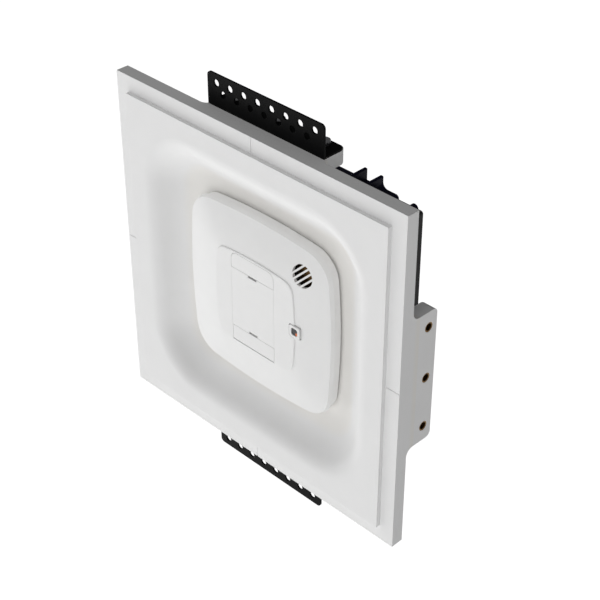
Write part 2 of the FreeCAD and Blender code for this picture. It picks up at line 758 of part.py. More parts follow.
def add_ribbed_shelves(body, face, length):
    """A ledge with four ribs on the top and bottom walls."""
    across = D["shelf_half"]
    low = D["box_half"] - D["box_wall"]
    square = (0.5, 0.5)
    shelf = front_sketch(body, f"{body.Label}_shelf_front", face)
    add_rounded_rectangle(shelf, -across, across, low, D["shelf_top"], (D["shelf_corner"],) * 2 + square)
    around(body, pad(body, shelf, length), 2)
    ribs = front_sketch(body, f"{body.Label}_ribs_front", face)
    for start in (D["inner_rib"], D["outer_rib"]):
        for near in (start, -(start + D["rib_sheet"])):
            edges = near, near + D["rib_sheet"], low, D["rib_top"]
            add_rounded_rectangle(ribs, *edges, (D["rib_rounding"],) * 2 + square)
    around(body, pad(body, ribs, length), 2)
    add_rib_feet(body, face, length)


def add_rib_feet(body, face, length):
    """Hollow rounds where the outer ribs meet the shelves."""
    hollow = D["rib_hollow"]
    near = D["outer_rib"] + D["rib_sheet"]
    top = D["shelf_top"] + hollow
    feet = front_sketch(body, f"{body.Label}_rib_foot_front", face)
    rounds = front_sketch(body, f"{body.Label}_rib_round_front", face - 1)
    for side in (1, -1):
        edges = sorted([(near - 1) * side, (near + hollow) * side], key=lambda edge: edge.value)
        add_rectangle(feet, *edges, D["shelf_top"] - 1, top)
        add_circle(rounds, ((near + hollow) * side, top), hollow)
    around(body, pad(body, feet, length), 2)
    around(body, pocket(body, rounds, length + 2), 2)


def flange_screws():
    """Four screws through the corner bosses of the flange into the plaster."""
    screws = []
    place = D["boss_place"]
    seat = D["boss_back"] - D["screw_head_sheet"]
    for right in (1, -1):
        for up in (1, -1):
            name = f"flange_screw_{right + 1}_{up + 1}"
            corner = (place * right, place * up)
            shank = cylinder(f"{name}_shank", corner, 3.5, seat + 1, D["flange_screw"])
            head = cylinder(f"{name}_head", corner, seat, D["boss_back"] - 0.2, D["flange_screw_head"])
            screws.append(fuse(name, [shank, head]))
    return together("flange_screws", screws)


def lid_screws():
    """Four long screws that clamp the lid, the collar and the board to the box."""
    screws = []
    seat = D["box_depth"] - D["screw_head_sheet"]
    for right in (1, -1):
        for up in (1, -1):
            name = f"lid_screw_{right + 1}_{up + 1}"
            corner = (D["lug_place_x"] * right, D["lug_place_z"] * up)
            shank = cylinder(f"{name}_shank", corner, D["lug_front"] + 2, seat + 1, D["lug_bore"] - 0.2)
            head = cylinder(f"{name}_head", corner, seat, D["box_depth"] - 0.3, D["lid_screw_head"])
            screws.append(fuse(name, [shank, head]))
    return together("lid_screws", screws)


def cable_grommet():
    """Rubber grommet in the rear wall, for the supply cable."""
    body = new_body("cable_grommet")
    place = (0, D["inlet_place"])
    inner_face = D["box_depth"] - D["box_wall"]
    stages = (("lip", inner_face - 1.6, 1.6, D["inlet_hole"] + 2.5),
              ("neck", inner_face, D["box_wall"], D["inlet_hole"]))
    for name, depth, length, radius in stages:
        ring = front_sketch(body, f"grommet_{name}_front", depth)
        add_circle(ring, place, radius)
        add_circle(ring, place, D["grommet_bore"])
        pad(body, ring, length)
    return body


def base_plate():
    """Round plate fixed to the box's posts; its three headed studs hold the alarm."""
    body = new_body("base_plate")
    disc = front_sketch(body, "disc_front", D["base_front"])
    add_circle(disc, (0, 0), D["base_radius"])
    add_circle(disc, (0, 0), 22)
    for side in (1, -1):
        add_circle(disc, (D["post_place"] * side, 0), 2.3)
    pad(body, disc, D["base_sheet"])
    head_front = D["can_back"] - 2.3 - 2.2
    stud_place = (0, D["stud_circle"])
    stem = front_sketch(body, "stem_front", head_front + 1)
    add_circle(stem, stud_place, D["stud_radius"])
    around(body, pad(body, stem, D["base_front"] - head_front), 3)
    head = front_sketch(body, "head_front", head_front)
    add_circle(head, stud_place, D["stud_head"])
    around(body, pad(body, head, 2.2), 3)
    return body


def base_screws():
    """Two pan-head screws that hold the base plate to the box's posts."""
    screws = []
    for side in (1, -1):
        place = (D["post_place"] * side, 0)
        name = f"base_screw_{side + 1}"
        shank = cylinder(f"{name}_shank", place, D["base_front"] - 1, D["base_front"] + 18, 1.95)
        head = cylinder(f"{name}_head", place, D["base_front"] - 2.2, D["base_front"], 3.6)
        screws.append(fuse(name, [shank, head]))
    return together("base_screws", screws)


# ---------------------------------------------------------------- alarm: outside

def dome_depth(share):
    """Depth of the cover's dome at a share of the way from the centre insert to the rim."""
    return D["dome_foot"] + (D["rim_depth"] - D["dome_foot"]) * (share ** 1.4)


def cover_section(body, name, depth, share, inset=0):
    """One outline of the cover, between the centre insert's outline and the rim's."""
    sketch = front_sketch(body, f"{name}_front", depth)
    half = D["insert_half"] + (D["cover_half"] - D["insert_half"]) * share - inset
    bulge = D["insert_bulge"] + (D["cover_bulge"] - D["insert_bulge"]) * share
    corner = D["insert_corner"] + (D["cover_corner"] - D["insert_corner"]) * share - inset
    add_soft_square(sketch, half, bulge, corner)
    return sketch


def front_cover():
    """Domed shell with a short side, cut for the centre insert, the horn and the lamp."""
    body = new_body("front_cover")
    shares = (1.0, 0.8, 0.55, 0.3, 0.0)
    outer = [cover_section(body, f"dome_{step}", dome_depth(share), share)
             for step, share in enumerate(shares)]
    loft(body, "AdditiveLoft", outer)
    rim = cover_section(body, "side_rim", D["rim_depth"], 1.0)
    back = front_sketch(body, "side_back_front", D["skirt_back"])
    add_soft_square(back, D["cover_half"] + D["skirt_flare"], D["cover_bulge"], D["cover_corner"])
    loft(body, "AdditiveLoft", [rim, back], ruled=True)

    wall = D["cover_wall"]
    inner = [cover_section(body, f"lining_{step}", dome_depth(share) + wall, share, wall)
             for step, share in enumerate(shares)]
    loft(body, "SubtractiveLoft", inner)
    hollow = cover_section(body, "hollow", D["rim_depth"] + wall - 0.01, 1.0, wall)
    pocket(body, hollow, D["skirt_back"])

    opening = cover_section(body, "opening", -1, 0.0)
    pocket(body, opening, 6)
    grille = front_sketch(body, "grille_front", -1)
    place_grille(grille)
    for step in (-2, -1, 0, 1, 2):
        add_slot(grille, step)
    pocket(body, grille, 8)
    lamp_opening(body, "cover_lamp")

    for number, (right, up) in enumerate(corner_signs()):
        boss = front_sketch(body, f"boss_{number}_front", D["rim_depth"])
        place = (D["screw_place_x"] * right, D["screw_place_z"] * up)
        add_circle(boss, place, 2.8)
        pad(body, boss, D["tray_front"] - D["rim_depth"])
        bore = front_sketch(body, f"boss_bore_{number}_front", D["rim_depth"] + 1)
        add_circle(bore, place, 1.25)
        pocket(body, bore, 8)
    return body


def corner_signs():
    return [(1, 1), (-1, 1), (-1, -1), (1, -1)]


def place_grille(sketch):
    """Puts a front sketch's origin at the horn grille's centre, turned along its slots."""
    sketch.AttachmentOffset = Placement(Vector(0, 0, 0), Rotation(Vector(0, 0, 1), 45))
    bind(sketch, "AttachmentOffset.Base.x", D["grille_place_x"])
    bind(sketch, "AttachmentOffset.Base.y", D["grille_place_z"])
    bind(sketch, "AttachmentOffset.Base.z", 1)


def add_slot(sketch, step):
    """One of the parallel slots that a round outline cuts to length."""
    middle = D["slot_pitch"] * step
    low = middle - D["slot_width"] * 0.5
    high = middle + D["slot_width"] * 0.5
    radius = D["grille_radius"]
    low_turn = math.degrees(math.asin(low.value / radius.value))
    high_turn = math.degrees(math.asin(high.value / radius.value))
    right = add_arc(sketch, (0, 0), radius, low_turn, high_turn)
    left = add_arc(sketch, (0, 0), radius, 180 - high_turn, 180 - low_turn)
    ends = sketch.getPoint(right, 2), sketch.getPoint(left, 1)
    top = sketch.addGeometry(Part.LineSegment(*ends), False)
    ends = sketch.getPoint(left, 2), sketch.getPoint(right, 1)
    bottom = sketch.addGeometry(Part.LineSegment(*ends), False)
    for first, second in ((right, top), (top, left), (left, bottom), (bottom, right)):
        sketch.addConstraint(Sketcher.Constraint("Coincident", first, 2, second, 1))
    for curve in (right, left):
        sketch.addConstraint(Sketcher.Constraint("Coincident", curve, 3, -1, 1))
    for line, height in ((top, high), (bottom, low)):
        sketch.addConstraint(Sketcher.Constraint("Horizontal", line))
        if height.value > 0:
            number = sketch.addConstraint(
                Sketcher.Constraint("DistanceY", -1, 1, line, 1, height.value))
            bind(sketch, f"Constraints[{number}]", height)
        else:
            number = sketch.addConstraint(
                Sketcher.Constraint("DistanceY", line, 1, -1, 1, -height.value))
            bind(sketch, f"Constraints[{number}]", -height)


def lamp_outline(sketch, half):
    across = D["lamp_place_x"]
    up = D["lamp_place_z"]
    add_rounded_rectangle(sketch, across - half, across + half, up - half, up + half, D["lamp_corner"])


def lamp_opening(body, name):
    """Square hole for the lamp's frame, with an even gap around it."""
    hole = front_sketch(body, f"{name}_front", -1)
    lamp_outline(hole, D["lamp_half"] + 0.6)
    pocket(body, hole, 10)


def add_window(sketch, side, gap):
    """Outline at the top or bottom of the centre insert: the top one has round upper corners."""
    middle = D["strip_middle"]
    half = D["strip_half"] - gap
    near = (D["window_inner"] + gap) * side
    far = (D["window_outer"] - gap) * side
    if side > 0:
        key_corner = D["window_corner"] - gap
        radii = (key_corner, key_corner, D["sharp_corner"], D["sharp_corner"])
        add_rounded_rectangle(sketch, middle - half, middle + half, near, far, radii)
    else:
        add_rounded_rectangle(sketch, middle - half, middle + half, far, near, D["sharp_corner"])


def centre_insert():
    """Raised middle of the alarm's face, with windows for the button and the battery door."""
    body = new_body("centre_insert")
    edge = D["seam_gap"] * 0.5
    face = front_sketch(body, "face_front", 0)
    add_soft_square(face, D["insert_half"] - edge - 0.5, D["insert_bulge"], D["insert_corner"])
    shoulder = front_sketch(body, "shoulder_front", 0.5)
    add_soft_square(shoulder, D["insert_half"] - edge, D["insert_bulge"], D["insert_corner"])
    loft(body, "AdditiveLoft", [face, shoulder], ruled=True)
    plate = front_sketch(body, "plate_front", 0.5)
    add_soft_square(plate, D["insert_half"] - edge, D["insert_bulge"], D["insert_corner"])
    pad(body, plate, 2.7)
    flange = front_sketch(body, "flange_front", 3.2)
    add_soft_square(flange, D["insert_half"] + 2.4, D["insert_bulge"], D["insert_corner"])
    pad(body, flange, 1.2)
    rear = front_sketch(body, "rear_front", D["insert_wall"])
    add_soft_square(rear, D["insert_half"] - 1.6, D["insert_bulge"], D["insert_corner"])
    pocket(body, rear, 6)

    for side, name in ((1, "button"), (-1, "door")):
        window = front_sketch(body, f"{name}_window_front", -1)
        add_window(window, side, 0)
        pocket(body, window, 8)
        notch = front_sketch(body, f"{name}_notch_front", -1)
        near = (D["window_inner"] - D["notch_rise"]) * side
        far = (D["window_inner"] + 1) * side
        middle = D["strip_middle"]
        add_rectangle(notch, middle - D["notch_half"], middle + D["notch_half"], near, far)
        pocket(body, notch, 8)
    for side, name in ((1, "right"), (-1, "left")):
        groove = front_sketch(body, f"{name}_groove_front", 0)
        edge_line = D["strip_middle"] + D["strip_half"] * side
        add_rectangle(groove, edge_line - 0.2, edge_line + 0.2, -D["window_inner"], D["window_inner"])
        pocket(body, groove, 0.08)
    hinge = side_sketch(body, "hinge_side", D["strip_middle"] - D["strip_half"] - 1.6)
    depth, height = hinge_place()
    add_circle(hinge, (depth, height), 0.7)
    pocket(body, hinge, D["strip_half"] * 2 + 3.2, forward=True)
    lamp_opening(body, "insert_lamp")
    return body


def hinge_place():
    """Depth and height of the battery door's hinge line."""
    return size(0.9), -D["window_outer"] + 1.2


def test_button():
    """Wide key at the top of the insert, with a long stem that reaches the switch."""
    body = new_body("test_button")
    key = front_sketch(body, "key_front", 0)
    add_window(key, 1, D["running_gap"])
    pad(body, key, D["insert_wall"])
    middle = D["strip_middle"], button_middle()
    stem = front_sketch(body, "stem_front", 1)
    add_circle(stem, middle, 2.2)
    pad(body, stem, D["board_front"] - 3.0 - D["button_travel"] - 1.2)
    collar = front_sketch(body, "collar_front", 5.4)
    add_circle(collar, middle, 4.2)
    pad(body, collar, 1.2)
    return body


def button_middle():
    return (D["window_inner"] + D["window_outer"]) * 0.5


def battery_door():
    """Flap over the battery bay, hinged along its lower edge on two short pins."""
    body = new_body("battery_door")
    gap = D["running_gap"]
    half = D["strip_half"] - gap
    high = -D["window_inner"] - gap
    low = -D["window_outer"] + 0.4
    depth, height = hinge_place()
    section = side_sketch(body, "section_side", D["strip_middle"] - half)
    rounding = 0.8
    places = [(rounding, low), (D["insert_wall"], low), (D["insert_wall"], high), (0, high),
              (0, low + rounding), (rounding * 0.3, low + rounding * 0.3)]
    add_polygon(section, places)
    pad(body, section, half * 2)
    pins = side_sketch(body, "pins_side", D["strip_middle"] - D["strip_half"] - 1.4)
    add_circle(pins, (depth, height), 0.6)
    pad(body, pins, (D["strip_half"] + 1.4) * 2)
    latch = front_sketch(body, "latch_front", D["insert_wall"])
    add_rectangle(latch, -5, 5, high - 1.6, high - 0.4)
    pad(body, latch, 1.4)
    return body


def lamp_frame():
    """Square collar around the indicator's lens."""
    body = new_body("lamp_frame")
    ring = front_sketch(body, "ring_front", -0.3)
    lamp_outline(ring, D["lamp_half"])
    inner = D["lens_half"] + 0.1
    lamp_outline(ring, inner)
    pad(body, ring, 5.6)
    return body


def lamp_lens():
    """Square smoked lens with a light pipe that reaches back to the lamp."""
    body = new_body("lamp_lens")
    lens = front_sketch(body, "lens_front", 0.2)
    lamp_outline(lens, D["lens_half"])
    pad(body, lens, 3.0)
    pipe = front_sketch(body, "pipe_front", 3.0)
    add_circle(pipe, (D["lamp_place_x"], D["lamp_place_z"]), 1.9)
    pad(body, pipe, 17.8)
    return body


def rear_housing():
    """Walled tray behind the cover and the round can that passes through the bowl's floor."""
    body = new_body("rear_housing")
    wall = front_sketch(body, "wall_front", D["wall_front"])
    add_soft_square(wall, D["tray_half"], D["cover_bulge"], D["cover_corner"])
    pad(body, wall, D["wall_back"] - D["wall_front"])
    for name, start, end in (("near", D["wall_front"] - 1, D["tray_front"]),
                             ("far", D["tray_front"] + D["tray_sheet"], D["wall_back"] + 1)):
        hollow = front_sketch(body, f"{name}_hollow_front", start)
        add_soft_square(hollow, D["tray_half"] - D["tray_wall"], D["cover_bulge"], D["cover_corner"])
        pocket(body, hollow, end - start)
    can = front_sketch(body, "can_front", D["tray_front"])
    add_circle(can, (0, 0), D["can_radius"])
    pad(body, can, D["can_back"] - D["tray_front"])
    inside = front_sketch(body, "inside_front", D["tray_front"] - 1)
    add_circle(inside, (0, 0), D["can_radius"] - 2)
    pocket(body, inside, D["can_back"] - D["tray_front"] - 2 + 1)
    for number, (right, up) in enumerate(corner_signs()):
        hole = front_sketch(body, f"screw_{number}_front", D["tray_front"] - 1)
        add_circle(hole, (D["screw_place_x"] * right, D["screw_place_z"] * up), 1.7)
        pocket(body, hole, 4)

    turn = D["release_turn"]
    across = Size(D["stud_circle"].value * math.sin(math.radians(turn.value)),
                  f"({D['stud_circle'].formula} * sin({turn.formula} * 1 deg))")
    up = Size(D["stud_circle"].value * math.cos(math.radians(turn.value)),
              f"({D['stud_circle'].formula} * cos({turn.formula} * 1 deg))")
    window = front_sketch(body, "window_front", D["can_back"] - 3)
    add_circle(window, (across, up), D["stud_head"] + 0.6)
    around(body, pocket(body, window, 4), 3)
    slot = front_sketch(body, "slot_front", D["can_back"] - 3)
    half = D["stud_radius"] + 0.4
    outer = draw_arc(slot, (0, 0), D["stud_circle"] + half, 90 - turn.value, 90)
    lock_end = add_arc(slot, (0, D["stud_circle"]), half, 90, 270)
    free_end = draw_arc(slot, (across, up), half, 270 - turn.value, 450 - turn.value)
    inner = draw_arc(slot, (0, 0), D["stud_circle"] - half, 90 - turn.value, 90)
    for curve in (outer, inner):
        slot.addConstraint(Sketcher.Constraint("Coincident", curve, 3, -1, 1))
    pin(slot, lock_end, 3, (0, D["stud_circle"]))
    for first, first_end, second, second_end in ((outer, 2, lock_end, 1), (lock_end, 2, inner, 2),
                                                 (inner, 1, free_end, 1), (free_end, 2, outer, 1)):
        slot.addConstraint(Sketcher.Constraint("Tangent", first, first_end, second, second_end))
    reach = slot.addConstraint(Sketcher.Constraint("DistanceX", -1, 1, free_end, 3, across.value))
    bind(slot, f"Constraints[{reach}]", across)
    around(body, pocket(body, slot, 4), 3)

    socket = front_sketch(body, "socket_front", D["can_back"] - 3)
    add_rectangle(socket, -13.5, 13.5, -30.5, -17.5)
    pocket(body, socket, 4)
    return body


def cover_screws():
    """Four screws that join the tray to the cover's bosses."""
    screws = []
    seat = D["tray_front"] + D["tray_sheet"]
    for number, (right, up) in enumerate(corner_signs()):
        place = (D["screw_place_x"] * right, D["screw_place_z"] * up)
        name = f"cover_screw_{number}"
        shank = cylinder(f"{name}_shank", place, D["rim_depth"] + 2, seat + 1, 1.2)
        head = cylinder(f"{name}_head", place, seat, seat + 1.5, 2.6)
        screws.append(fuse(name, [shank, head]))
    return together("cover_screws", screws)


# ---------------------------------------------------------------- alarm: inside

def horn_place():
    return D["grille_place_x"], D["grille_place_z"]


def horn_chamber():
    """Round cup behind the grille that holds the sounder disc."""
    body = new_body("horn_chamber")
    ring = front_sketch(body, "cup_front", 6.6)
    add_circle(ring, horn_place(), 11.4)
    add_circle(ring, horn_place(), 10.2)
    pad(body, ring, 3.2)
    floor = front_sketch(body, "floor_front", 8.8)
    add_circle(floor, horn_place(), 10.6)
    pad(body, floor, 1.0)
    return body


def piezo_disc():
    """Brass disc with a ceramic layer, in the sounder's cup."""
    plate = cylinder("piezo_plate", horn_place(), 7.8, 8.1, 10.0)
    layer = cylinder("piezo_layer", horn_place(), 8.1, 8.3, 7.0)
    return fuse("piezo_disc", [plate, layer])


def circuit_board():
    """Round board across the can."""
    body = new_body("circuit_board")
    outline = front_sketch(body, "board_front", D["board_front"])
    add_circle(outline, (0, 0), D["board_radius"])
    pad(body, outline, D["board_sheet"])
    return body


def chamber_base():
    """Dark labyrinth on the board: a disc with slanted vanes around its edge."""
    body = new_body("chamber_base")
    disc = front_sketch(body, "disc_front", D["board_front"] - 1.6)
    add_circle(disc, (0, 0), D["chamber_radius"])
    pad(body, disc, 1.6)
    vane = front_sketch(body, "vane_front", D["chamber_front"] + 1.6)
    add_polygon(vane, [(16.2, -1.4), (20.4, 1.6), (20.4, 2.6), (16.2, -0.4)])
    around(body, pad(body, vane, D["board_front"] - D["chamber_front"] - 3.0), 18)
    return body


def chamber_cover():
    """Lid of the sensing chamber."""
    return node_cylinder("chamber_cover", (0, 0), D["chamber_front"], D["chamber_front"] + 1.6,
                         D["chamber_radius"] + 0.8)


def node_cylinder(label, place, start, end, radius):
    item = cylinder(label, place, start, end, radius)
    item.Label = label
    return item


def insect_screen():
    """Fine mesh sleeve around the sensing chamber, drawn as a thin tube."""
    start = D["chamber_front"] + 1.6
    outer = cylinder("screen_outer", (0, 0), start, D["board_front"], D["chamber_radius"] + 0.7)
    inner = cylinder("screen_inner", (0, 0), start - 1, D["board_front"] + 1, D["chamber_radius"] + 0.2)
    return cut("insect_screen", outer, inner)


def optical_part(label, turn):
    """Small round optical part inside the labyrinth, aimed at the chamber's middle."""
    item = doc.addObject("Part::Cylinder", label)
    item.Label = label
    heading = Rotation(Vector(0, 1, 0), turn)
    start = heading.multVec(Vector(-14.5, 16.5, 0))
    item.Placement = Placement(start, heading * Rotation(Vector(0, 1, 0), 90))
    bind(item, "Radius", 2.4)
    bind(item, "Height", 6)
    return item


def indicator_lamp():
    """Small lamp on the board behind the light pipe."""
    place = (D["lamp_place_x"], D["lamp_place_z"])
    lens = cylinder("lamp_bulb", place, D["board_front"] - 2.9, D["board_front"] - 0.9, 1.5)
    foot = cylinder("lamp_foot", place, D["board_front"] - 1.0, D["board_front"], 2.0)
    return fuse("indicator_lamp", [lens, foot])


def tactile_switch():
    """Push switch on the board under the button's stem."""
    middle = button_middle()
    top = D["board_front"] - 3.0
    across = D["strip_middle"]
    sides = (across - 3, across + 3), (top + 0.8, D["board_front"]), (middle - 3, middle + 3)
    case = block("switch_case", *sides)
    cap = cylinder("switch_cap", (across, middle), top, top + 1, 1.7)
    return fuse("tactile_switch", [case, cap])


def button_guide():
    """Sleeve on two legs that guides the button's stem and backs its spring."""
    middle = button_middle()
    across = D["strip_middle"]
    outer = cylinder("guide_outer", (across, middle), 11.0, 13.0, 4.8)
    legs = [block(f"guide_leg_{number}", (across + low, across + low + 1.6), (12.0, D["board_front"]),
                  (middle - 1.5, middle + 1.5)) for number, low in enumerate((-4.8, 3.2))]
    solid = fuse("guide_solid", [outer] + legs)
    bore = cylinder("guide_bore", (across, middle), 10.0, 14.0, 2.5)
    return cut("button_guide", solid, bore)


def button_spring():
    """Small coil spring between the button's collar and the guide."""
    spring = doc.addObject("Part::Helix", "spring_line")
    bind(spring, "Pitch", D["spring_pitch"])
    bind(spring, "Height", D["spring_length"])
    bind(spring, "Radius", D["spring_radius"])
    spring.SegmentLength = 0.5
    spring.Visibility = False
    doc.recompute()
    start = spring.Shape.Vertexes[0].Point
    wire = Part.Circle(start, Vector(0, 1, 0), D["spring_wire"].value)
    profile = Part.Wire(wire.toShape())
    coil = Part.Wire(spring.Shape.Edges).makePipeShell([profile], True, True)
    item = doc.addObject("Part::Feature", "button_spring")
    item.Label = "button_spring"
    item.Shape = coil
    front = Vector(D["strip_middle"].value, D["spring_front"].value, button_middle().value)
    item.Placement = Placement(front, Rotation(Vector(1, 0, 0), -90))
    return item


def battery_bay():
    """Open-fronted pocket behind the door."""
    low = -D["window_outer"] + 0.9
    high = -D["window_inner"] - 0.3
    outer = block("bay_outer", (-18.6, 18.6), (5.0, D["board_front"]), (low, high))
    inner = block("bay_inner", (-17.6, 17.6), (4.0, D["board_front"] - 1.0), (low + 1, high - 1))
    return cut("battery_bay", outer, inner)


def battery():
    """Flat lithium cell with two end terminals."""
    low = -D["window_outer"] + 2.2
    high = -D["window_inner"] - 1.6
    cell = block("cell_case", (-17, 17), (5.4, D["board_front"] - 3.2), (low, high))
    return relabel(cell, "battery")


def relabel(item, label):
    item.Label = label
    return item


def battery_contacts():
    """Two sprung blades at the back of the bay."""
    middle = (D["window_outer"] + D["window_inner"]) * -0.5
    blades = [block(f"contact_{number}", (low, low + 5), (D["board_front"] - 3.2, D["board_front"] - 1.0),
                    (middle - 2, middle + 2)) for number, low in enumerate((-14, 9))]
    return together("battery_contacts", blades)


def capacitors():
    """Three electrolytic capacitors on the board."""
    cans = [cylinder(f"capacitor_{number}", place, D["board_front"] - 11, D["board_front"], 4.0)
            for number, place in enumerate(((-36, 14), (-36, 2), (-36, -10)))]
    return together("capacitors", cans)


def control_chip():
    """Controller package on the board."""
    return relabel(block("control_chip", (25, 35), (D["board_front"] - 1.6, D["board_front"]), (12, 22)),
                   "control_chip")


def mains_connector():
    """Socket on the back of the board, reached through the can's rear wall."""
    back = D["board_front"] + D["board_sheet"]
    outer = block("connector_outer", (-13, 13), (back, D["can_back"] + 1.5), (-30, -18))
    inner = block("connector_inner", (-11.5, 11.5), (back + 2, D["can_back"] + 3), (-28.5, -19.5))
    return cut("mains_connector", outer, inner)


# ---------------------------------------------------------------- build, check and write

def build():
    node(plaster_frame())
    node(threaded_inserts())
    node(bracket("top_bracket", 0))
    node(bracket("bottom_bracket", 180))
    node(bracket_screws())
    node(backing_plate())
    node(back_box())
    node(box_collar())
    node(box_lid())
    node(lid_posts())
    node(flange_screws())
    node(lid_screws())
    node(cable_grommet())
    node(base_plate())
    node(base_screws())
    node(front_cover())
    node(centre_insert())
    node(test_button())
    node(battery_door())
    node(lamp_frame())
    node(lamp_lens())
    node(rear_housing())
    node(cover_screws())
    node(horn_chamber())
    node(piezo_disc())
    node(circuit_board())
    node(chamber_base())
    node(chamber_cover())
    node(insect_screen())
    node(optical_part("infrared_emitter", 0))
    node(optical_part("photodiode", 130))
    node(indicator_lamp())
    node(tactile_switch())
    node(button_guide())
    node(button_spring())
    node(battery_bay())
    node(battery())
    node(battery_contacts())
    node(capacitors())
    node(control_chip())
    node(mains_connector())
    doc.recompute()


def check():
    """Stops if any object failed or any piece isn't a valid solid."""
    problems = []
    for item in doc.Objects:
        if "Invalid" in item.State or "Error" in item.State:
            problems.append(f"{item.Name}: {item.State}")
    for item in NODES:
        shape = item.Shape
        if shape.isNull() or not shape.isValid() or not shape.Solids:
            problems.append(f"{item.Label}: shape isn't a valid solid")
    if problems:
        raise RuntimeError("; ".join(problems))


def write():
    os.makedirs("parts", exist_ok=True)
    for item in NODES:
        item.Shape.exportStep(f"parts/{item.Label}.step")
        box = item.Shape.BoundBox
        print(f"{item.Label:18s} solids {len(item.Shape.Solids):2d} volume {item.Shape.Volume:11.1f}"
              f"  x {box.XMin:7.1f} {box.XMax:6.1f}  y {box.YMin:6.1f} {box.YMax:5.1f}"
              f"  z {box.ZMin:7.1f} {box.ZMax:6.1f}")


build()
check()
write()
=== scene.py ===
"""Looks, light and camera for the recess-mounted smoke alarm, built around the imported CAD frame."""

import bpy
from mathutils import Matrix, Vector


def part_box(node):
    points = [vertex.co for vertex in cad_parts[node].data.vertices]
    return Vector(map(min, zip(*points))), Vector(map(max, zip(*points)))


MM = 0.001
BEVEL_SAMPLES = 6
WHITE = (1.0, 1.0, 1.0)

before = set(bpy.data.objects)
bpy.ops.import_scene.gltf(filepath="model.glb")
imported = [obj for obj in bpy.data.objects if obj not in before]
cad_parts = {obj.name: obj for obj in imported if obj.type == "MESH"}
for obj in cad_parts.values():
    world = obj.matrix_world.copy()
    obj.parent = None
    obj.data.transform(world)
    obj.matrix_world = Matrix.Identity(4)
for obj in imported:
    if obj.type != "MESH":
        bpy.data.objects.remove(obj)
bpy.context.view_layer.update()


# ---------------------------------------------------------------- shader helpers

